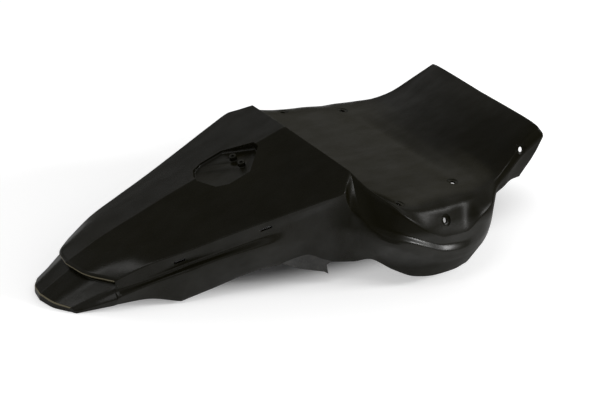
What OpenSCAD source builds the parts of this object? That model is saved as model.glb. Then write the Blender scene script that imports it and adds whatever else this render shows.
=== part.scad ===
// Racing seat unit: one thin glass-fibre moulding, open underneath.
// X runs forward from the tail to the nose, Y to the left, Z up.
// The origin is the middle of the moulding's footprint on the floor.

/* [Overall size] */
// Stretch of the whole moulding along X
length_scale = 1.0; // [0.9:0.01:1.1]
// Stretch of the whole moulding across Y
width_scale = 1.0; // [0.9:0.01:1.1]
// Stretch of the whole moulding along Z
height_scale = 1.0; // [0.9:0.01:1.1]
// Laminate thickness
wall = 3; // [2.5:0.25:4]

/* [Holes] */
// Diameter of the fixing holes
hole_d = 8; // [6:0.5:10]
// Diameter of the dimple round each fixing hole
dimple_d = 16; // [12:1:18]
// Length of the slots in the side channel
slot_long = 18; // [12:1:26]
// Height of the slots in the side channel
slot_high = 5; // [3:0.5:7]
// Depth of the pocket on the hump, below the ridge
pocket_deep = 15; // [10:1:20]

/* [Hidden] */
$fn = 48;
dimple_deep = 1.2;

// Fixing holes, as [point on the skin, outward direction]
deck_holes = [
  [[60, -159, 129], [0.24, -0.09, 1]],
  [[95, 155, 125], [0.06, 0.12, 1]],
  [[189, -128, 124.4], [0, 0, 1]],
  [[189, 128, 124.4], [0, 0, 1]]
];
side_holes = [
  [[133, -183, 100], [0.1, -0.86, 0.51]],
  [[318, -128, 153], [-0.08, -0.9, 0.42]]
];
// Slots, as points on the channel, and the two turns that follow its face
slot_points = [[-249, -83, 65], [-131, -111, 104]];
slot_turn = 14;
slot_climb = 18;
// Pocket frame: its origin on the ridge line, its edge as [along, half width]
pocket_at = [-128, 0, 155];
ridge_angle = atan(0.394 * height_scale / length_scale);
facet_fall = 0.29 * height_scale / width_scale;
pocket_edge = [[-46, 6], [-35, 24], [-20, 30], [14, 30], [48, 4]];
// Half width of the tool that trims the tray, and how far the tray stays below the facets
tray_half = 70;
tray_below = 1.5;
lug_x = 18;
lug_y = 10;
lug_d = 10;
lug_high = 7;
lug_hole_d = 4;
tab_x = -106;
tab_y = 105;
tab_turn = 11;
// Tab with its small hook at the front, as [along, height]
tab_outline = [
  [0, 46], [46, 28], [85, 19], [92, 15], [89, 24],
  [87, 30], [98, 36], [100, 44], [46, 52], [0, 50]
];

// Stations from the tail to the nose. Each is one moulded section:
// [steps to the next, crease here, dish of the deck],
// [x and z of the middle], [x, half width, z of the deck shoulder], [x of the side at its top and bottom],
// then half width and z of the top edge, seam, channel, side ridge and bottom edge.
stations = [
  [[2, 1, 0], [-409, -2], [-403, 24, -3], [-388, -381], [41, -3], [43, -3], [45, -3], [47, -3], [48, -3]],
  [[4, 1, 0], [-410, 8], [-404, 24, 6], [-388, -381], [43, 4], [45, 2.5], [47, 1], [48, -1], [49, -3]],
  [[1, 1, 0], [-367, 34], [-359, 34, 31], [-336, -336], [59, 29], [61, 28], [63, 25], [71, 20], [66, 7]],
  [[1, 1, 0], [-375, 43], [-366, 34, 41], [-334, -334], [61, 39], [62, 34], [64, 27], [72.5, 22], [67, 8]],
  [[2, 1, 0], [-371, 50], [-362, 34, 48], [-330, -330], [62, 45], [63, 40], [65, 29], [74, 25], [68, 9]],
  [[2, 0, 0], [-320, 77], [-306, 45, 71], [-290, -290], [74, 65], [74, 59], [72, 39], [80, 37], [74, 11]],
  [[2, 1, 0], [-268, 99], [-250, 52, 89], [-238, -238], [87, 81], [87, 75], [83, 57], [95, 55], [84, 1]],
  [[2, 0, 0], [-223, 118], [-206, 58, 105], [-195, -195],
    [96, 95], [96, 89], [94, 70], [104, 68], [91, 14]],
  [[2, 0, 0], [-150, 146], [-135, 68, 130], [-125, -125],
    [113, 118], [113, 112], [109, 93], [117, 80], [103, 35]],
  [[2, 0, 0], [-80, 173], [-67, 78, 154], [-58, -58],
    [130, 140], [130, 134], [124, 118], [122, 81], [112, 40]],
  [[2, 0, 0], [-45, 186], [-34, 82, 165], [-27, -27],
    [137, 150], [138, 144], [134, 127], [130, 78], [119, 34]],
  [[2, 0, 0], [-37, 189], [-22, 76, 172], [-12, -12],
    [126, 160], [143, 123], [140, 112], [138, 82], [123, 33]],
  [[3, 1, 0], [-30, 191], [-12, 69, 178], [0, 0], [115, 169], [153, 114], [153, 106], [148, 86], [128, 33]],
  [[3, 0, 0.7], [-14, 152], [8, 104, 156], [20, 15],
    [143, 149], [165, 101], [169, 97], [171, 86], [137, 35]],
  [[2, 0, 1], [5, 128], [32, 142, 142], [48, 30], [178, 128], [182, 97], [188, 91], [190, 82], [156, 45]],
  [[2, 0, 1], [40, 122], [62, 164, 132], [68, 58], [188, 112], [189, 90], [196, 84], [197, 72], [173, 31]],
  [[2, 0, 1], [80, 121], [98, 167, 129], [96, 94], [194, 93], [193, 79], [200, 71], [200, 58], [182, 17]],
  [[2, 0, 1], [125, 120], [135, 166, 129], [130, 130],
    [195, 81], [194, 68], [201, 59], [200, 47], [184, 12]],
  [[2, 0, 1], [165, 121], [168, 161, 128], [166, 168],
    [192, 80], [194, 66], [199, 55], [198, 44], [181, 11]],
  [[2, 0, 1], [195, 122], [196, 155, 126], [200, 200],
    [186, 97], [190, 77], [193, 60], [191, 46], [172, 10]],
  [[2, 0, 1], [222, 129], [222, 148, 126], [226, 226],
    [177, 106], [181, 88], [182, 72], [180, 55], [166, 28]],
  [[1, 0, 1], [245, 138], [244, 145, 127], [246, 246],
    [161, 113], [163, 100], [164, 88], [163, 76], [157, 62]],
  [[2, 0, 1], [255, 143], [258, 143, 129], [262, 261],
    [150, 116], [150, 110], [149, 107], [149, 104], [149, 101]],
  [[2, 0, 1], [282, 157], [283, 134, 140], [290, 288],
    [139, 126], [138, 117], [137, 111], [137, 106], [136, 100]],
  [[2, 0, 1], [314, 174], [313, 123, 163], [324, 320],
    [131, 148], [126, 130], [122, 117], [119, 107], [118, 97]],
  [[1, 1, 1], [345, 187], [349, 116, 186], [361, 354],
    [128, 170], [122, 143], [116, 124], [109, 107], [103, 90]]
];
n_rows = len(stations);

// One flat list of 18 values per station, so that they can be blended along the seat
rows = [for (r = stations)
  [r[1][0], r[1][1], r[2][0], r[2][1], r[2][2], r[3][0], r[4][0], r[4][1], r[5][0],
    r[5][1], r[6][0], r[6][1], r[7][0], r[7][1], r[8][0], r[8][1], r[0][2], r[3][1]]];
// Running distance along the side of the seat, used as the blending parameter
function gap_to_next(i) = norm([rows[i + 1][5] - rows[i][5], rows[i + 1][7] - rows[i][7],
  (rows[i + 1][1] - rows[i][1]) * 0.7]) + 1;
gaps = [for (i = [0 : n_rows - 2]) gap_to_next(i)];

function slope(i, k) = (rows[i + 1][k] - rows[i][k]) / gaps[i];
// Even tangent at a station, without overshoot
function tangent(i, k) =
  let (a = slope(i - 1, k))
  let (b = slope(i, k))
  a * b <= 0 ? 0 : 3 * (gaps[i - 1] + gaps[i])
    / ((2 * gaps[i] + gaps[i - 1]) / a + (gaps[i] + 2 * gaps[i - 1]) / b);
function blend(i, t, k) =
  let (d = slope(i, k))
  let (m0 = (i == 0 || stations[i][0][1] == 1) ? d : tangent(i, k))
  let (m1 = (i == n_rows - 2 || stations[i + 1][0][1] == 1) ? d : tangent(i + 1, k))
  let (t2 = t * t)
  let (t3 = t2 * t)
  (2 * t3 - 3 * t2 + 1) * rows[i][k] + (t3 - 2 * t2 + t) * gaps[i] * m0
    + (3 * t2 - 2 * t3) * rows[i + 1][k] + (t3 - t2) * gaps[i] * m1;
sections = [
  for (i = [0 : n_rows - 2])
    for (j = [0 : stations[i][0][0] - 1])
      [for (k = [0 : 17]) blend(i, j / stations[i][0][0], k)],
  rows[n_rows - 1]
];

// Corner of a section: a short curve between two points beside the rail point
function bend(a, p, b, f, g, n) = [for (q = [0 : n])
  let (t = q / n)
  let (u = 1 - t)
  u * u * (p + (a - p) * f) + 2 * u * t * p + t * t * (p + (b - p) * g)];

// Half section, from the middle line down to the bottom edge.
// Flat facets on the hump turn into one soft dish on the deck.
function across(c, d, u, dish) = [c[0] + (d[0] - c[0]) * u, d[1] * u,
  c[2] + (d[2] - c[2]) * (u * (1 - dish) + u * u * dish)];
function half(v) =
  let (c = [v[0], 0, v[1]])
  let (d = [v[2], v[3], v[4]])
  let (t = [v[5], v[6], v[7]])
  let (s = [v[5] + (v[17] - v[5]) * 0.3, v[8], v[9]])
  let (g = [v[5] + (v[17] - v[5]) * 0.5, v[10], v[11]])
  let (r = [v[5] + (v[17] - v[5]) * 0.7, v[12], v[13]])
  let (b = [v[17], v[14], v[15]])
  let (dish = v[16])
  concat([for (u = [0, 0.03, 0.25, 0.5]) across(c, d, u, dish)],
    bend(across(c, d, 0.5, dish), d, t, 0.6, 0.36, 4),
    bend(d, t, s, 0.08 + 0.24 * dish, 0.2, 3),
    bend(t, s, g, 0.12, 0.3, 2),
    bend(s, g, r, 0.25, 0.3, 2),
    bend(g, r, b, 0.35, 0.12, 3),
    [(r + b) / 2, b]);

function mirror_y(p) = [p[0], -p[1], p[2]];
function whole(h) = concat([for (i = [len(h) - 1 : -1 : 1]) mirror_y(h[i])], h);
function sized(p) = [p[0] * length_scale, p[1] * width_scale, p[2] * height_scale];
outer = [for (v = sections) [for (p = whole(half(v))) sized(p)]];
n_i = len(outer);
n_j = len(outer[0]);
// The sections are drawn about the front corners of the hump. These two values
// carry the finished moulding to the middle of its footprint, standing on the floor.
all_x = [for (row = outer) for (p = row) p[0]];
all_z = [for (row = outer) for (p = row) p[2]];
centre_x = (min(all_x) + max(all_x)) / 2;
floor_z = min(all_z);

function unit(v) = v / max(norm(v), 0.0001);
// Outward direction at a grid point, from its neighbours
function normal_at(i, j) =
  let (p = outer[i][j])
  let (ahead = unit(outer[min(i + 1, n_i - 1)][j] - p) + unit(p - outer[max(i - 1, 0)][j]))
  let (aside = unit(outer[i][min(j + 1, n_j - 1)] - p) + unit(p - outer[i][max(j - 1, 0)]))
  unit(cross(ahead, aside));
inner = [for (i = [0 : n_i - 1])
  [for (j = [0 : n_j - 1]) outer[i][j] - normal_at(i, j) * wall]];

// Closes the grids: two skins, then the strip of laminate edge all round
function idx(side, i, j) = (side * n_i + i) * n_j + j;
function quad(a, b, c, d) = [[a, b, c], [a, c, d]];
function skin(side) = [for (i = [0 : n_i - 2]) for (j = [0 : n_j - 2]) for (f = quad(
  idx(side, i, j), idx(side, i, j + 1), idx(side, i + 1, j + 1), idx(side, i + 1, j))) f];
function turned(f) = [f[0], f[2], f[1]];
function edge_strip(a, b) = [for (k = [0 : len(a) - 2])
  for (f = quad(a[k], a[k + 1], b[k + 1], b[k])) f];
function line_j(side, j) = [for (i = [0 : n_i - 1]) idx(side, i, j)];
function line_i(side, i) = [for (j = [0 : n_j - 1]) idx(side, i, j)];
shell_points = [for (g = [outer, inner]) for (row = g) for (p = row) p];
shell_faces = concat(
  skin(0),
  [for (f = skin(1)) turned(f)],
  edge_strip(line_j(0, 0), line_j(1, 0)),
  edge_strip(line_j(1, n_j - 1), line_j(0, n_j - 1)),
  edge_strip(line_i(1, 0), line_i(0, 0)),
  edge_strip(line_i(0, n_i - 1), line_i(1, n_i - 1))
);

// Turns a tool so that its own Z axis points along the outward direction d at point p
module facing(p, d) {
  translate(p)
    rotate([0, acos(d[2] / norm(d)), atan2(d[1], d[0])])
      children();
}

module both_sides() {
  children();
  mirror([0, 1, 0]) children();
}

// Back of the moulded dimple, which keeps the laminate thickness under it
module hole_pad() {
  translate([0, 0, -wall - dimple_deep]) cylinder(h = 2, d = dimple_d + 2);
}

// Dimple for the screw head and the through hole
module hole_cut() {
  translate([0, 0, -dimple_deep]) cylinder(h = 12, d = dimple_d);
  translate([0, 0, -20]) cylinder(h = 30, d = hole_d);
}

// Calls its child at every fixing hole
module at_holes() {
  for (h = deck_holes) facing(sized(h[0]), h[1]) children();
  for (h = side_holes) both_sides() facing(sized(h[0]), h[1]) children();
}

// Long hole through the face of the side channel
module slot_cut() {
  translate([0, 0, -15]) {
    for (x = [-1, 1])
      translate([x * (slot_long - slot_high) / 2, 0, 0]) cylinder(h = 30, d = slot_high);
    translate([-(slot_long - slot_high) / 2, -slot_high / 2, 0])
      cube([slot_long - slot_high, slot_high, 30]);
  }
}

module slots() {
  for (p = slot_points)
    both_sides()
      translate(sized(p))
        rotate([0, 0, -slot_turn]) rotate([0, -slot_climb, 0]) rotate([90, 0, 0])
          slot_cut();
}

// Outline of the shallow pocket, seen from above, pointed towards the tail and the deck
module pocket_outline(grow) {
  offset(r = 4 + grow)
    polygon(concat(pocket_edge,
      [for (i = [len(pocket_edge) - 1 : -1 : 0]) [pocket_edge[i][0], -pocket_edge[i][1]]]));
}
module in_pocket() {
  translate(sized(pocket_at)) rotate([0, -ridge_angle, 0]) children();
}
module pocket_cut() {
  in_pocket() translate([0, 0, -pocket_deep]) linear_extrude(pocket_deep + 12) pocket_outline(0);
}
// Walls and floor of the pocket, kept under the two facets of the hump
module pocket_tray() {
  in_pocket() {
    intersection() {
      translate([0, 0, -pocket_deep - wall]) linear_extrude(pocket_deep + wall) pocket_outline(wall);
      rotate([90, 0, 90]) translate([0, 0, -90]) linear_extrude(180)
        polygon([
          [-tray_half, -tray_half * facet_fall - tray_below],
          [0, -tray_below],
          [tray_half, -tray_half * facet_fall - tray_below],
          [tray_half, -60],
          [-tray_half, -60]
        ]);
    }
  }
}
module pocket_lugs() {
  in_pocket()
    for (y = [-1, 1])
      translate([lug_x, y * lug_y, -pocket_deep - 1]) cylinder(h = lug_high + 1, d = lug_d);
}
module lug_holes() {
  in_pocket()
    for (y = [-1, 1])
      translate([lug_x, y * lug_y, -pocket_deep - 20]) cylinder(h = 40, d = lug_hole_d);
}

// Trimmed tab that hangs from the lower edge of each side panel
module side_tab() {
  translate(sized([tab_x, -tab_y, 0]))
    rotate([0, 0, -tab_turn]) rotate([90, 0, 0]) translate([0, 0, -wall])
      linear_extrude(wall) polygon(tab_outline);
}

module seat_shell() {
  color([0.05, 0.05, 0.05])
    translate([-centre_x, 0, -floor_z]) difference() {
      union() {
        polyhedron(shell_points, shell_faces, convexity = 10);
        at_holes() hole_pad();
        pocket_tray();
        both_sides() side_tab();
      }
      at_holes() hole_cut();
      slots();
      difference() {
        pocket_cut();
        pocket_lugs();
      }
      lug_holes();
    }
}

seat_shell();
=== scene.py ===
import math

import bpy
import numpy as np
from mathutils import Matrix, Vector


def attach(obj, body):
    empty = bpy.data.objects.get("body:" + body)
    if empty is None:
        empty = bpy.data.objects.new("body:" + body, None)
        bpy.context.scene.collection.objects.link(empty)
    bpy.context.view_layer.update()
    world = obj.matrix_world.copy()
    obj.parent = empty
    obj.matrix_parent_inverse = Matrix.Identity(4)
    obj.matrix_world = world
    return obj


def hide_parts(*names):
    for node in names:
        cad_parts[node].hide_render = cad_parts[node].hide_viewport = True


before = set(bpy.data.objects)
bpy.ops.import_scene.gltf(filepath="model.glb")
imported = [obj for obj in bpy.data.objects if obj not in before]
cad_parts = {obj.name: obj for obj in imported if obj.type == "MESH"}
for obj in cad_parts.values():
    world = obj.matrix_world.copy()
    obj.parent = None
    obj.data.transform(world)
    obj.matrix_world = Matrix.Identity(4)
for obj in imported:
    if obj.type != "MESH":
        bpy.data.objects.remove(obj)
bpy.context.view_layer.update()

# The loft of part.scad, in mm, with x measured from the front corners of the hump.
# Each station: [steps to the next, crease, dish], ridge [x, z], edge of the top [x, y, z],
# [x of the side edge, x of the bottom edge], then [y, z] of the side edge, the foot of its
# wall, the groove, the roll and the bottom edge. Only the lip's inner end (the third station)
# and the hump's rear edge (the fourth) stand up to 9 mm from where part.scad has them, so that
# the dark gap between them is nearer the photo's.
WALL = 3.0
STATIONS = [
    [[2, 1, 0], [-409, -2], [-403, 24, -3], [-388, -381], [41, -3], [43, -3], [45, -3], [47, -3], [48, -3]],
    [[4, 1, 0], [-410, 8], [-404, 24, 6], [-388, -381], [43, 4], [45, 2.5], [47, 1], [48, -1], [49, -3]],
    [[1, 1, 0], [-364, 39], [-355, 34, 36], [-329, -336], [59, 34], [61, 31], [63, 26], [71, 20], [66, 7]],
    [[1, 1, 0], [-374, 45.5], [-365, 34, 43.5], [-334, -334],
     [61, 41], [62, 36], [64, 28], [72.5, 22], [67, 8]],
    [[2, 1, 0], [-371, 50], [-362, 34, 48], [-330, -330], [62, 45], [63, 40], [65, 29], [74, 25], [68, 9]],
    [[2, 0, 0], [-320, 77], [-306, 45, 71], [-290, -290], [74, 65], [74, 59], [72, 39], [80, 37], [74, 11]],
    [[2, 1, 0], [-268, 99], [-250, 52, 89], [-238, -238], [87, 81], [87, 75], [83, 57], [95, 55], [84, 1]],
    [[2, 0, 0], [-223, 118], [-206, 58, 105], [-195, -195],
     [96, 95], [96, 89], [94, 70], [104, 68], [91, 14]],
    [[2, 0, 0], [-150, 146], [-135, 68, 130], [-125, -125],
     [113, 118], [113, 112], [109, 93], [117, 80], [103, 35]],
    [[2, 0, 0], [-80, 173], [-67, 78, 154], [-58, -58],
     [130, 140], [130, 134], [124, 118], [122, 81], [112, 40]],
    [[2, 0, 0], [-45, 186], [-34, 82, 165], [-27, -27],
     [137, 150], [138, 144], [134, 127], [130, 78], [119, 34]],
    [[2, 0, 0], [-37, 189], [-22, 76, 172], [-12, -12],
     [126, 160], [143, 123], [140, 112], [138, 82], [123, 33]],
    [[3, 1, 0], [-30, 191], [-12, 69, 178], [0, 0], [115, 169], [153, 114], [153, 106], [148, 86], [128, 33]],
    [[3, 0, 0.7], [-14, 152], [8, 104, 156], [20, 15],
     [143, 149], [165, 101], [169, 97], [171, 86], [137, 35]],
    [[2, 0, 1], [5, 128], [32, 142, 142], [48, 30], [178, 128], [182, 97], [188, 91], [190, 82], [156, 45]],
    [[2, 0, 1], [40, 122], [62, 164, 132], [68, 58], [188, 112], [189, 90], [196, 84], [197, 72], [173, 31]],
    [[2, 0, 1], [80, 121], [98, 167, 129], [96, 94], [194, 93], [193, 79], [200, 71], [200, 58], [182, 17]],
    [[2, 0, 1], [125, 120], [135, 166, 129], [130, 130],
     [195, 81], [194, 68], [201, 59], [200, 47], [184, 12]],
    [[2, 0, 1], [165, 121], [168, 161, 128], [166, 168],
     [192, 80], [194, 66], [199, 55], [198, 44], [181, 11]],
    [[2, 0, 1], [195, 122], [196, 155, 126], [200, 200],
     [186, 97], [190, 77], [193, 60], [191, 46], [172, 10]],
    [[2, 0, 1], [222, 129], [222, 148, 126], [226, 226],
     [177, 106], [181, 88], [182, 72], [180, 55], [166, 28]],
    [[1, 0, 1], [245, 138], [244, 145, 127], [246, 246],
     [161, 113], [163, 100], [164, 88], [163, 76], [157, 62]],
    [[2, 0, 1], [255, 143], [258, 143, 129], [262, 261],
     [150, 116], [150, 110], [149, 107], [149, 104], [149, 101]],
    [[2, 0, 1], [282, 157], [283, 134, 140], [290, 288],
     [139, 126], [138, 117], [137, 111], [137, 106], [136, 100]],
    [[2, 0, 1], [314, 174], [313, 123, 163], [324, 320],
     [131, 148], [126, 130], [122, 117], [119, 107], [118, 97]],
    [[1, 1, 1], [345, 187], [349, 116, 186], [361, 354],
     [128, 170], [122, 143], [116, 124], [109, 107], [103, 90]],
]
N = len(STATIONS)
ROWS = np.array([[*r[1], *r[2], r[3][0], *r[4], *r[5], *r[6], *r[7], *r[8], r[0][2], r[3][1]]
                 for r in STATIONS], float)
CREASE = [r[0][1] == 1 for r in STATIONS]
STEPS = [r[0][0] for r in STATIONS]
RIDGE_SHARE = 0.7          # how much the ridge's height counts in the distance between stations


def mark(i):
    """x and z of the side edge and the ridge's height, by which the gap to a station is measured."""
    return ROWS[i][5], ROWS[i][7], RIDGE_SHARE * ROWS[i][1]


GAPS = np.array([math.dist(mark(i + 1), mark(i)) + 1 for i in range(N - 1)])


def slope(i):
    """Change of each number per mm from station i to the next."""
    return (ROWS[i + 1] - ROWS[i]) / GAPS[i]


def tangent(i):
    """Slope at station i that never overshoots, 0 where a number turns back."""
    a, b = slope(i - 1), slope(i)
    ga, gb = GAPS[i - 1], GAPS[i]
    ok = a * b > 0
    sa, sb = np.where(ok, a, 1), np.where(ok, b, 1)
    return np.where(ok, 3 * (ga + gb) / ((2 * gb + ga) / sa + (gb + 2 * ga) / sb), 0)


def section(i, t):
    """The numbers of the cross-section at share t of the way from station i to the next."""
    d = slope(i)
    m0 = d if i == 0 or CREASE[i] else tangent(i)
    m1 = d if i == N - 2 or CREASE[i + 1] else tangent(i + 1)
    return ((2 * t ** 3 - 3 * t ** 2 + 1) * ROWS[i] + (t ** 3 - 2 * t ** 2 + t) * GAPS[i] * m0
            + (3 * t ** 2 - 2 * t ** 3) * ROWS[i + 1] + (t ** 3 - t ** 2) * GAPS[i] * m1)


def bend(a, p, b, f, g, n):
    """Round bend at p in n steps, from share f of the way to a, to share g of the way to b."""
    a2, b2 = p + (a - p) * f, p + (b - p) * g
    return [(1 - t) ** 2 * a2 + 2 * t * (1 - t) * p + t * t * b2 for t in np.linspace(0, 1, n + 1)]


def line(a, b, n):
    """n points between a and b."""
    return [a + (b - a) * t for t in np.linspace(0, 1, n + 2)[1:-1]]


RIDGE_ROUND = 0.03         # share of the top's half-width that is rounded at the ridge
TOP_MIDDLE = 0.5           # share of the top's half-width where its edge starts to bend
# where these lie between the x of the side edge and the x of the bottom edge
AT_WALL, AT_GROOVE, AT_ROLL = 0.3, 0.5, 0.7
# each bend: its share of the way to the point before and to the one after, and its steps
TOP_BEND, WALL_BEND, GROOVE_BEND, ROLL_BEND = (0.6, 0.36, 10), (0.12, 0.3, 5), (0.25, 0.3, 5), (0.35, 0.12, 7)
SIDE_BEND, SIDE_SOFTER = 0.08, 0.24    # the side edge's share before it, and what a dished top adds


def half(v):
    """Points of half a cross-section, from the ridge on the middle line to the bottom edge."""
    c = np.array([v[0], 0, v[1]])
    d, t = np.array(v[2:5]), np.array(v[5:8])
    fall = v[17] - v[5]
    s = np.array([v[5] + fall * AT_WALL, v[8], v[9]])
    g = np.array([v[5] + fall * AT_GROOVE, v[10], v[11]])
    r = np.array([v[5] + fall * AT_ROLL, v[12], v[13]])
    b = np.array([v[17], v[14], v[15]])
    dish = v[16]

    def across(u):
        sag = u * (1 - dish) + u * u * dish
        return np.array([c[0] + (d[0] - c[0]) * u, d[1] * u, c[2] + (d[2] - c[2]) * sag])

    e = across(RIDGE_ROUND)
    me = e * [1, -1, 1]
    pts = [(1 - q) ** 2 * me + 2 * q * (1 - q) * c + q * q * e for q in (0.5, 0.62, 0.75, 0.88, 1)]
    pts += [across(u) for u in np.linspace(RIDGE_ROUND, TOP_MIDDLE, 9)[1:]]
    b1 = bend(across(TOP_MIDDLE), d, t, *TOP_BEND)
    b2 = bend(d, t, s, SIDE_BEND + SIDE_SOFTER * dish, 0.2, 7)
    b3 = bend(t, s, g, *WALL_BEND)
    b4 = bend(s, g, r, *GROOVE_BEND)
    b5 = bend(g, r, b, *ROLL_BEND)
    pts += line(pts[-1], b1[0], 2) + b1 + line(b1[-1], b2[0], 4) + b2 + line(b2[-1], b3[0], 4) + b3
    pts += line(b3[-1], b4[0], 1) + b4 + line(b4[-1], b5[0], 1) + b5 + line(b5[-1], b, 6) + [b]
    return np.array(pts)


FINE = 5                   # rows of the grid for each step of part.scad
ROUND = 1.6                # mm on each side of a crease that its rounding takes
CLEAR = 1.6                # no plain row nearer to a crease than this many roundings
RIM_HIGHLIGHT_STATIONS = (1, 3)      # the stations on the rear edge of the lip and of the hump, whose rims are painted pale as a highlight
RIM_HIGHLIGHT_REACH = 33          # columns of the grid from the middle line to the side edge that the painted rim highlight reaches
grid, rim_highlight_rows = [], []
for i in range(N - 1):
    m = STEPS[i] * FINE
    e = ROUND / GAPS[i]
    ts = list(np.linspace(0, 1, m + 1))
    if CREASE[i] and i:
        ts = [e] + [t for t in ts if t > CLEAR * e]
    if CREASE[i + 1] and i + 1 < N - 1:
        ts = [t for t in ts if t < 1 - CLEAR * e] + [1 - e]
    elif i + 1 < N - 1:
        ts = ts[:-1]
    if i and CREASE[i]:
        a, b = grid[-1], half(section(i, e))
        p = half(ROWS[i])
        # rows on these rims get the pale finish, which paints a highlight where light catches the edge
        if i in RIM_HIGHLIGHT_STATIONS:
            rim_highlight_rows += range(len(grid) - 1, len(grid) + 4)
        for q in (0.2, 0.4, 0.6, 0.8):
            grid.append((1 - q) ** 2 * a + 2 * q * (1 - q) * p + q * q * b)
    grid += [half(section(i, t)) for t in ts]
H = np.array(grid)
OUT = np.concatenate([H[:, :0:-1] * [1, -1, 1], H], axis=1)
n_i, n_j = OUT.shape[:2]


def unit(v):
    return v / np.maximum(np.linalg.norm(v, axis=-1, keepdims=True), 1e-6)


def shell_normals(P):
    """Outward normals of the grid, even over uneven spacing."""
    fi, bi = P[np.minimum(np.arange(n_i) + 1, n_i - 1)], P[np.maximum(np.arange(n_i) - 1, 0)]
    fj, bj = P[:, np.minimum(np.arange(n_j) + 1, n_j - 1)], P[:, np.maximum(np.arange(n_j) - 1, 0)]
    return unit(np.cross(unit(unit(fi - P) + unit(P - bi)), unit(unit(fj - P) + unit(P - bj))))


NOR = shell_normals(OUT)
INN = OUT - NOR * WALL
SHIFT = np.array([24.71, 0, 3.0])     # mm from the loft's origin to the shared frame's


def metres(p):
    """Points of the loft in the shared frame."""
    return (np.asarray(p, float) + SHIFT) / 1000


def mesh_object(name, verts, faces, mats, slots):
    me = bpy.data.meshes.new(name)
    me.from_pydata([tuple(v) for v in verts], [], faces)
    for m in mats:
        me.materials.append(m)
    me.polygons.foreach_set("material_index", slots)
    me.update()
    ob = bpy.data.objects.new(name, me)
    bpy.context.scene.collection.objects.link(ob)
    return ob


def nodes_of(name):
    """A new material, its shader and the helpers that add nodes to it."""
    m = bpy.data.materials.new(name)
    m.use_nodes = True
    nt = m.node_tree
    bsdf = nt.nodes["Principled BSDF"]
    tc = nt.nodes.new("ShaderNodeTexCoord")

    def add(kind, **props):
        n = nt.nodes.new(kind)
        for k, v in props.items():
            setattr(n, k, v)
        return n

    def link(a, b):
        nt.links.new(a, b)

    def noise(scale, detail=3, rough=0.5, stretch=None):
        n = add("ShaderNodeTexNoise")
        n.inputs["Scale"].default_value = scale
        n.inputs["Detail"].default_value = detail
        n.inputs["Roughness"].default_value = rough
        src = tc.outputs["Object"]
        if stretch:
            mp = add("ShaderNodeMapping")
            mp.inputs["Scale"].default_value = stretch
            link(src, mp.inputs["Vector"])
            src = mp.outputs["Vector"]
        link(src, n.inputs["Vector"])
        return n.outputs["Fac"]

    def ramp(fac, stops):
        r = add("ShaderNodeValToRGB")
        el = r.color_ramp.elements
        while len(el) < len(stops):
            el.new(0.5)
        for e, (p, c) in zip(el, stops):
            e.position = p
            e.color = (*c, 1) if len(c) == 3 else c
        link(fac, r.inputs["Fac"])
        return r.outputs["Color"]

    def span(fac, lo, hi, a=0.3, b=0.7):
        r = add("ShaderNodeMapRange")
        for k, v in (("From Min", a), ("From Max", b), ("To Min", lo), ("To Max", hi)):
            r.inputs[k].default_value = v
        link(fac, r.inputs["Value"])
        return r.outputs["Result"]

    def bump(height, dist, strength=1.0, after=None):
        b = add("ShaderNodeBump")
        b.inputs["Distance"].default_value = dist
        b.inputs["Strength"].default_value = strength
        link(height, b.inputs["Height"])
        if after:
            link(after, b.inputs["Normal"])
        return b.outputs["Normal"]

    def mix(fac, a, b):
        n = add("ShaderNodeMix", data_type="RGBA")
        for k, v in ((0, fac), (6, a), (7, b)):
            if hasattr(v, "is_linked"):
                link(v, n.inputs[k])
            else:
                n.inputs[k].default_value = v
        return n.outputs[2]

    return m, bsdf, tc, add, link, noise, ramp, span, bump, mix


COAT = (0.26, 0.40)        # least and most weight of the glossy coat
# what the coat's weight is multiplied by: on the flanks of the wings, on the steep faces that
# the rider's legs rub, and near the wings' lower edge
WING_POLISH, LEG_POLISH, LOW_POLISH = 1.4, 0.28, 0.35
# DUST colours the specks; the level film's warm colour is partly dust and partly painted warm light on the
# top faces
DUST, DUST_AND_WARM_LIGHT = (0.05, 0.048, 0.043, 1), (0.060, 0.052, 0.020, 1)


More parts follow.
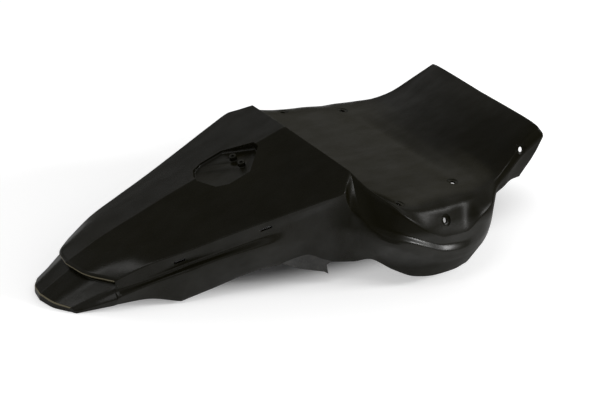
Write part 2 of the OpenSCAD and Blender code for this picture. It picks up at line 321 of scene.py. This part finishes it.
def gelcoat(name, dark, light):
    """Worn gelcoat: soft tone, dust and a painted warm light where it lies flat, a thin coat of uneven gloss,
    orange peel.
    """
    m, bsdf, tc, add, link, noise, ramp, span, bump, mix = nodes_of(name)

    def product(a, b):
        n = add("ShaderNodeMath", operation="MULTIPLY")
        link(a, n.inputs[0])
        link(b, n.inputs[1])
        return n.outputs[0]

    def most(a, b):
        n = add("ShaderNodeMath", operation="MAXIMUM")
        link(a, n.inputs[0])
        link(b, n.inputs[1])
        return n.outputs[0]

    geo = add("ShaderNodeNewGeometry")
    facing_to = add("ShaderNodeSeparateXYZ")
    link(geo.outputs["Normal"], facing_to.inputs[0])
    up = facing_to.outputs["Z"]
    sideways = add("ShaderNodeMath", operation="ABSOLUTE")
    link(facing_to.outputs["Y"], sideways.inputs[0])
    place = add("ShaderNodeSeparateXYZ")
    link(tc.outputs["Object"], place.inputs[0])
    along, height = place.outputs["X"], place.outputs["Z"]

    # Dust specks in the pores where the skin faces up, and where it is level a thin warm film that is partly
    # dust and partly painted warm light on the top faces
    tone = ramp(noise(9, 4, 0.6), [(0.3, dark), (0.7, light)])
    specks = product(span(up, 0, 1, 0.5, 1.0), span(noise(900, 2, 0.6), 0, 0.10, 0.62, 0.74))
    dust_and_warm_light_film = span(up, 0, 0.11, 0.93, 0.995)
    link(mix(dust_and_warm_light_film, mix(specks, tone, DUST), DUST_AND_WARM_LIGHT), bsdf.inputs["Base Color"])

    # Gloss: all of it is in the coat, so the base has no highlight of its own
    smear = noise(22, 5, 0.65, (1, 2.4, 1))
    link(span(smear, 0.34, 0.48), bsdf.inputs["Roughness"])
    bsdf.inputs["Specular IOR Level"].default_value = 0.0
    wing = product(span(along, 0, 1, 0.03, 0.08), span(height, 1, 0, 0.085, 0.108))
    low = product(span(along, 0, 1, 0.0, 0.06), span(height, 1, 0, 0.040, 0.062))
    nose = span(along, 0, 1, 0.25, 0.29)
    seat_side = product(span(along, 0, 1, -0.02, 0.02), span(height, 0, 1, 0.088, 0.100))
    leg_rub = product(most(nose, seat_side), span(sideways.outputs[0], 0, 1, 0.45, 0.75))
    coat = span(smear, *COAT)
    for where, polish in ((wing, WING_POLISH), (low, LOW_POLISH), (leg_rub, LEG_POLISH)):
        coat = product(coat, span(where, 1.0, polish, 0, 1))
    link(coat, bsdf.inputs["Coat Weight"])
    bsdf.inputs["Coat Roughness"].default_value = 0.27
    peel = bump(noise(230, 2, 0.5), 0.00005)
    wave = bump(noise(28, 2, 0.4), 0.0006, 0.5, peel)
    link(wave, bsdf.inputs["Normal"])
    link(wave, bsdf.inputs["Coat Normal"])
    return m


def laminate(name, lo, hi, rough):
    """Bare laminate: chopped strands, made of two stretched noises laid across each other."""
    m, bsdf, tc, add, link, noise, ramp, span, bump, mix = nodes_of(name)
    a = noise(60, 4, 0.7, (1, 9, 3))
    b = noise(60, 4, 0.7, (9, 1, 4))
    both = add("ShaderNodeMath", operation="MAXIMUM")
    link(a, both.inputs[0])
    link(b, both.inputs[1])
    link(ramp(both.outputs[0], [(0.45, lo), (0.75, hi)]), bsdf.inputs["Base Color"])
    link(span(noise(35, 3), rough - 0.12, rough + 0.1), bsdf.inputs["Roughness"])
    bsdf.inputs["Specular IOR Level"].default_value = 0.35
    link(bump(both.outputs[0], 0.0006), bsdf.inputs["Normal"])
    return m


GEL = gelcoat("black_gelcoat", (0.0046, 0.0041, 0.0016), (0.0072, 0.0065, 0.0029))
# The pale second gelcoat is a painted highlight on the rear rims of the lip and the hump, where light catches
# the edges
PAINTED_RIM_HIGHLIGHT = gelcoat("painted_rim_highlight", (0.10, 0.085, 0.050), (0.17, 0.15, 0.10))
MAT = laminate("raw_laminate", (0.012, 0.012, 0.011), (0.045, 0.043, 0.038), 0.55)
EDGE = laminate("trimmed_edge", (0.022, 0.021, 0.018), (0.075, 0.068, 0.055), 0.6)
FINISHES = [GEL, MAT, EDGE, PAINTED_RIM_HIGHLIGHT]
ON_GEL, ON_LAMINATE, ON_TRIM, ON_RIM_HIGHLIGHT = range(4)


def idx(side, i, j):
    """Index of a grid point on the outer (0) or inner (1) skin."""
    return (side * n_i + i) * n_j + j


# The trimmed edge runs once round the moulding, with both its corners rounded off
border = [(i, 0) for i in range(n_i)] + [(n_i - 1, j) for j in range(1, n_j)]
border += [(i, n_j - 1) for i in range(n_i - 2, -1, -1)] + [(0, j) for j in range(n_j - 2, 0, -1)]
TRIM = ((0.25, 0.25), (0, 0.9), (0, 2.5), (0.15, 2.85))    # mm inwards along the skin, and into the wall
OUTER_BACK, INNER_BACK = 0.9, 0.5      # mm by which each skin stops short of the edge
loops = [[], [], [], []]
moved = []
for i, j in border:
    o, n = OUT[i, j], NOR[i, j]
    s = unit(OUT[min(max(i, 1), n_i - 2), min(max(j, 1), n_j - 2)] - o)
    for loop, (inwards, deep) in zip(loops, TRIM):
        loop.append(o + inwards * s - deep * n)
    moved.append((i, j, o + OUTER_BACK * s, o + INNER_BACK * s - WALL * n))
for i, j, o, b in moved:
    OUT[i, j], INN[i, j] = o, b
verts = metres(np.concatenate([OUT.reshape(-1, 3), INN.reshape(-1, 3)] + [np.array(loop) for loop in loops]))
verts[:, 2] = np.maximum(verts[:, 2], 0.0)
faces, slots = [], []
for i in range(n_i - 1):
    for j in range(n_j - 1):
        q = [idx(0, i, j), idx(0, i + 1, j), idx(0, i + 1, j + 1), idx(0, i, j + 1)]
        faces += [q, [k + n_i * n_j for k in reversed(q)]]
        # faces on the rear rims get the pale finish that paints their highlight
        painted_rim = i in rim_highlight_rows and abs(j - n_j // 2) < RIM_HIGHLIGHT_REACH
        slots += [ON_RIM_HIGHLIGHT if painted_rim else ON_GEL, ON_LAMINATE]
nb = len(border)
chain = [[idx(0, i, j) for i, j in border]]
chain += [[2 * n_i * n_j + k * nb + q for q in range(nb)] for k in range(4)]
chain += [[idx(1, i, j) for i, j in border]]
for k in range(5):
    a, b = chain[k], chain[k + 1]
    for q in range(nb):
        r = (q + 1) % nb
        faces.append([a[q], b[q], b[r], a[r]])
        slots.append(ON_GEL if k < 2 else ON_TRIM)
shell = mesh_object("seat_moulding", verts, faces, FINISHES, slots)


def rings(name, loops, slot):
    """Closed solid through a stack of loops of equal length, first loop at the bottom."""
    n = len(loops[0])
    v = [p for loop in loops for p in loop]
    f = [[(k * n) + q, (k * n) + (q + 1) % n, (k + 1) * n + (q + 1) % n, (k + 1) * n + q]
         for k in range(len(loops) - 1) for q in range(n)]
    f += [list(range(n))[::-1], [(len(loops) - 1) * n + q for q in range(n)]]
    return mesh_object(name, v, f, FINISHES, [slot] * len(f))


def boolean(tool, how, target=None):
    """Joins the tool to the shell or another target, cuts it out or keeps what they share."""
    target = target or shell
    md = target.modifiers.new("cut", "BOOLEAN")
    md.object = tool
    md.operation = how
    md.solver = "MANIFOLD"
    bpy.context.view_layer.objects.active = target
    bpy.ops.object.modifier_apply(modifier=md.name)
    bpy.data.objects.remove(tool)


def facing(p, d):
    """Matrix at point p of the loft with its z axis along d."""
    z = Vector(d).normalized()
    return Matrix.Translation(Vector(metres(p))) @ z.to_track_quat("Z", "Y").to_matrix().to_4x4()


def placed(m, loops, mirrored=False):
    """Loops given in local mm, carried by matrix m, and mirrored to the left side if asked."""
    out = [[m @ (Vector(p) / 1000) for p in loop] for loop in loops]
    if mirrored:
        out = [[Vector((p.x, -p.y, p.z)) for p in reversed(loop)] for loop in out]
    return [[tuple(p) for p in loop] for loop in out]


def turned(profile, m, n=64):
    """Loops of a revolved profile [(radius mm, height mm)...] placed by matrix m."""
    angles = [2 * math.pi * q / n for q in range(n)]
    return placed(m, [[(r * math.cos(a), r * math.sin(a), h) for a in angles] for r, h in profile])


# Fixing holes (point, direction), each with a raised back and a worn dish round its mouth
HOLES = [((60, -159, 129), (0.24, -0.09, 1)), ((95, 155, 125), (0.06, 0.12, 1)),
         ((189, -128, 124.4), (0, 0, 1)), ((189, 128, 124.4), (0, 0, 1))]
for s in (-1, 1):
    HOLES += [((133, s * 183, 100), (0.1, s * 0.86, 0.51)), ((318, s * 128, 153), (-0.08, s * 0.9, 0.42))]
BACK = [(9.5, -4.2), (9.5, -2.2)]
DISH = [(3.95, -12), (3.95, -1.75), (4.2, -1.4), (4.8, -1.22), (6.2, -1.1), (7.2, -0.8), (8.0, -0.3),
        (8.8, 0.15), (9.2, 3)]
for p, d in HOLES:
    boolean(rings("pad", turned(BACK, facing(p, d)), ON_LAMINATE), "UNION")
for p, d in HOLES:
    boolean(rings("hole", turned(DISH, facing(p, d)), ON_GEL), "DIFFERENCE")


def turn(axis, degrees):
    return Matrix.Rotation(math.radians(degrees), 4, axis)


def capsule(r, z, half_long=6.5, n=12):
    """Loop with round ends of radius r, at height z."""
    right = [(half_long + r * math.sin(a), -r * math.cos(a), z) for a in np.linspace(0, math.pi, n)]
    left = [(-half_long - r * math.sin(a), r * math.cos(a), z) for a in np.linspace(0, math.pi, n)]
    return right + left


# Slots in the side channel, with a worn outer edge
SLOTS = ((-249, -83, 65), (-131, -111, 104))
SLOT_TURN, SLOT_CLIMB = 14, 18         # degrees
SLOT_STACK = [capsule(r, z) for r, z in ((2.5, -12), (2.5, 1.5), (2.9, 3.5), (3.6, 6), (3.6, 14))]
for p in SLOTS:
    m = (Matrix.Translation(Vector(metres(p))) @ turn("Z", -SLOT_TURN) @ turn("Y", -SLOT_CLIMB)
         @ turn("X", 90))
    for mirrored in (False, True):
        boolean(rings("slot", placed(m, SLOT_STACK, mirrored), ON_GEL), "DIFFERENCE")

# Pocket on the ridge, in a frame that climbs with the ridge
RIDGE_SLOPE, FACET_FALL = 0.394, 0.29
POCKET = Matrix.Translation(Vector(metres((-128, 0, 155)))) @ turn("Y", -math.degrees(math.atan(RIDGE_SLOPE)))
EDGE_POINTS = [(-46, 6), (-35, 24), (-20, 30), (14, 30), (48, 4)]
CORNER = 4


def pocket_outline(grow, n=7):
    """Outline with its corners rounded by CORNER plus the growth, counter-clockwise from above."""
    pts = [(x, -y) for x, y in EDGE_POINTS] + EDGE_POINTS[::-1]
    out = []
    for k, p in enumerate(pts):
        a, b = pts[k - 1], pts[(k + 1) % len(pts)]
        t0 = math.atan2(p[1] - a[1], p[0] - a[0]) - math.pi / 2
        t1 = math.atan2(b[1] - p[1], b[0] - p[0]) - math.pi / 2
        t1 += 2 * math.pi * (t1 < t0)
        reach = CORNER + grow
        out += [(p[0] + reach * math.cos(t), p[1] + reach * math.sin(t)) for t in np.linspace(t0, t1, n)]
    return out


def level(grow, z):
    """The pocket's outline on a level plane."""
    return [(x, y, z) for x, y in pocket_outline(grow)]


def on_facets(grow, z):
    """The pocket's outline laid on the two facets that fall away from the ridge."""
    return [(x, y, z - FACET_FALL * abs(y)) for x, y in pocket_outline(grow)]


ROOF = [(-70, -21.8), (-70, -60), (70, -60), (70, -21.8), (0, -1.5)]
FLOOR_STACK = ((-3, -15), (-2, -14.8), (-1, -14.2), (-0.3, -13.2), (0, -12))
RIM_STACK = ((0, -1.2), (0.25, -0.5), (0.8, -0.05), (1.6, 0.25), (1.6, 14))
tray = rings("tray", placed(POCKET, [level(3, -18), level(3, 12)]), ON_LAMINATE)
roof = rings("roof", placed(POCKET, [[(x, y, z) for y, z in ROOF] for x in (-90, 90)]), ON_LAMINATE)
boolean(roof, "INTERSECT", tray)
boolean(tray, "UNION")
hollow = [level(*k) for k in FLOOR_STACK] + [on_facets(*k) for k in RIM_STACK]
boolean(rings("pocket", placed(POCKET, hollow), ON_GEL), "DIFFERENCE")

# Two lugs on the pocket's floor, with a fillet at the foot and a screw hole
LUG = [(6.4, -15.6), (6.4, -15.05), (5.5, -14.7), (5.0, -14), (5.0, -8.5), (4.8, -8.15), (4.4, -8)]
LUG_HOLE = [(2.0, -40), (2.0, -8.5), (2.5, -7.9), (2.5, 5)]
LUG_X, LUG_Y = 0.018, 0.010
for s in (-1, 1):
    m = POCKET @ Matrix.Translation(Vector((LUG_X, s * LUG_Y, 0)))
    boolean(rings("lug", turned(LUG, m), ON_GEL), "UNION")
    boolean(rings("lug_hole", turned(LUG_HOLE, m), ON_GEL), "DIFFERENCE")

# Trimmed tab with its hook, hanging from the lower edge of each side panel
TAB = [(0, 46), (46, 28), (85, 19), (92, 15), (89, 24), (87, 30), (98, 36), (100, 44), (46, 52), (0, 50)]
TAB_AT, TAB_TURN = (-106, -105, 0), 11
m = Matrix.Translation(Vector(metres(TAB_AT))) @ turn("Z", -TAB_TURN) @ turn("X", 90)
tab_loops = [[(x, y, z) for x, y in TAB] for z in (-WALL, 0)]
for mirrored in (False, True):
    boolean(rings("tab", placed(m, tab_loops, mirrored), ON_LAMINATE), "UNION")

SHARP = math.radians(28)
bpy.context.view_layer.update()
shell.data.shade_smooth()
shell.data.set_sharp_from_angle(angle=SHARP)

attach(shell, "root")
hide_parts("seat_shell")

FLOOR_HALF = 40.0
FLOOR_WHITE = (0.92, 0.92, 0.92, 1)
FLOOR_LIFT = 0.44          # brings the lit floor to white for the camera and in reflections
LIFT_CENTRE, LIFT_LONG, LIFT_WIDE = 0.08, 0.50, 0.125      # ellipse under the object where the lift fades to a painted shadow, m
floor_mesh = bpy.data.meshes.new("floor")
floor_mesh.from_pydata([(-FLOOR_HALF, -FLOOR_HALF, 0), (FLOOR_HALF, -FLOOR_HALF, 0),
                        (FLOOR_HALF, FLOOR_HALF, 0), (-FLOOR_HALF, FLOOR_HALF, 0)], [], [(0, 1, 2, 3)])
floor = bpy.data.objects.new("floor", floor_mesh)
bpy.context.scene.collection.objects.link(floor)
floor_white = bpy.data.materials.new("floor_white")
floor_white.use_nodes = True
ft = floor_white.node_tree
paint = ft.nodes["Principled BSDF"]
paint.inputs["Base Color"].default_value = FLOOR_WHITE
paint.inputs["Roughness"].default_value = 0.9
paint.inputs["Specular IOR Level"].default_value = 0.1


def floor_math(kind, operation, *inputs):
    n = ft.nodes.new(kind)
    n.operation = operation
    for k, v in enumerate(inputs):
        ft.links.new(v, n.inputs[k])
    return n.outputs["Value"]


# 1 for rays from the camera, a mirror or a clear surface, 0 for the light that falls on the object
path = ft.nodes.new("ShaderNodeLightPath")
seen = path.outputs["Is Camera Ray"]
for ray in ("Is Glossy Ray", "Is Transmission Ray"):
    seen = floor_math("ShaderNodeMath", "MAXIMUM", seen, path.outputs[ray])

# The lift fades out in an ellipse under the object, which paints a shadow there: the floor keeps only its
# lamp-lit shade, darker than the lifted floor round it
coords = ft.nodes.new("ShaderNodeTexCoord")
squeeze = ft.nodes.new("ShaderNodeMapping")
squeeze.inputs["Location"].default_value = (-LIFT_CENTRE / LIFT_LONG, 0, 0)
squeeze.inputs["Scale"].default_value = (1 / LIFT_LONG, 1 / LIFT_WIDE, 0)
ft.links.new(coords.outputs["Object"], squeeze.inputs["Vector"])
outwards = floor_math("ShaderNodeVectorMath", "LENGTH", squeeze.outputs["Vector"])
lift_outside_painted_shadow = ft.nodes.new("ShaderNodeMapRange")
lift_outside_painted_shadow.interpolation_type = "SMOOTHSTEP"
for k, v in (("From Min", 0.50), ("From Max", 1.0), ("To Min", 0.0), ("To Max", FLOOR_LIFT)):
    lift_outside_painted_shadow.inputs[k].default_value = v
ft.links.new(outwards, lift_outside_painted_shadow.inputs["Value"])
glow = ft.nodes.new("ShaderNodeEmission")
lift = floor_math("ShaderNodeMath", "MULTIPLY", seen, lift_outside_painted_shadow.outputs["Result"])
ft.links.new(lift, glow.inputs["Strength"])
both = ft.nodes.new("ShaderNodeAddShader")
ft.links.new(paint.outputs[0], both.inputs[0])
ft.links.new(glow.outputs[0], both.inputs[1])
ft.links.new(both.outputs[0], ft.nodes["Material Output"].inputs["Surface"])
floor_mesh.materials.append(floor_white)

# The room, the same for every ray: dim walls, a pale band above them and a darker ceiling.
# Each pair is the height of a direction (0 level, 1 straight up) and the room's strength there.
ROOM = ((0.0, 0.16), (0.30, 0.30), (0.52, 0.82), (0.80, 0.40), (0.97, 0.22))
world = bpy.context.scene.world or bpy.data.worlds.new("World")
bpy.context.scene.world = world
world.use_nodes = True
wt = world.node_tree
background = wt.nodes["Background"]
background.inputs["Color"].default_value = (1, 1, 1, 1)
direction = wt.nodes.new("ShaderNodeTexCoord")
axes = wt.nodes.new("ShaderNodeSeparateXYZ")
wt.links.new(direction.outputs["Generated"], axes.inputs[0])
rise = wt.nodes.new("ShaderNodeValToRGB")
wt.links.new(axes.outputs["Z"], rise.inputs["Fac"])
stops = rise.color_ramp.elements
while len(stops) < len(ROOM):
    stops.new(0.5)
for stop, (upwards, strength) in zip(stops, ROOM):
    stop.position = upwards
    stop.color = (strength, strength, strength, 1)
wt.links.new(rise.outputs["Color"], background.inputs["Strength"])


def area(name, place, target, size, watts):
    """Rectangular lamp at a place, turned to a target."""
    lamp = bpy.data.lights.new(name, "AREA")
    lamp.shape = "RECTANGLE"
    lamp.size, lamp.size_y = size
    lamp.energy = watts
    o = bpy.data.objects.new(name, lamp)
    bpy.context.scene.collection.objects.link(o)
    o.location = place
    o.rotation_euler = (Vector(target) - Vector(place)).to_track_quat("-Z", "Y").to_euler()


area("key", (2.4, -1.7, 1.4), (0, 0, 0.1), (0.9, 0.35), 42)
area("fill", (-1.5, 2.2, 2.2), (0, 0, 0.1), (1.6, 1.2), 6)
area("rim", (-1.19, -0.61, 2.23), (-0.3, 0, 0.05), (0.8, 0.8), 8)

# The camera stands behind the object, on its right, as in the photo
CAMERA_AT = Vector((-1.6712, -1.9316, 1.3345))
look, up = Vector((0.596, 0.671, -0.4411)), Vector((0.1717, 0.4301, 0.8863))
cam_data = bpy.data.cameras.new("camera")
cam_data.lens = 120
cam_data.sensor_width = 36
cam_data.clip_end = 50
camera = bpy.data.objects.new("camera", cam_data)
bpy.context.scene.collection.objects.link(camera)
right = look.cross(up).normalized()
up = right.cross(look).normalized()
m = Matrix((right, up, -look.normalized())).transposed().to_4x4()
m.translation = CAMERA_AT
camera.matrix_world = m
bpy.context.scene.camera = camera
bpy.context.scene.view_settings.view_transform = "Standard"
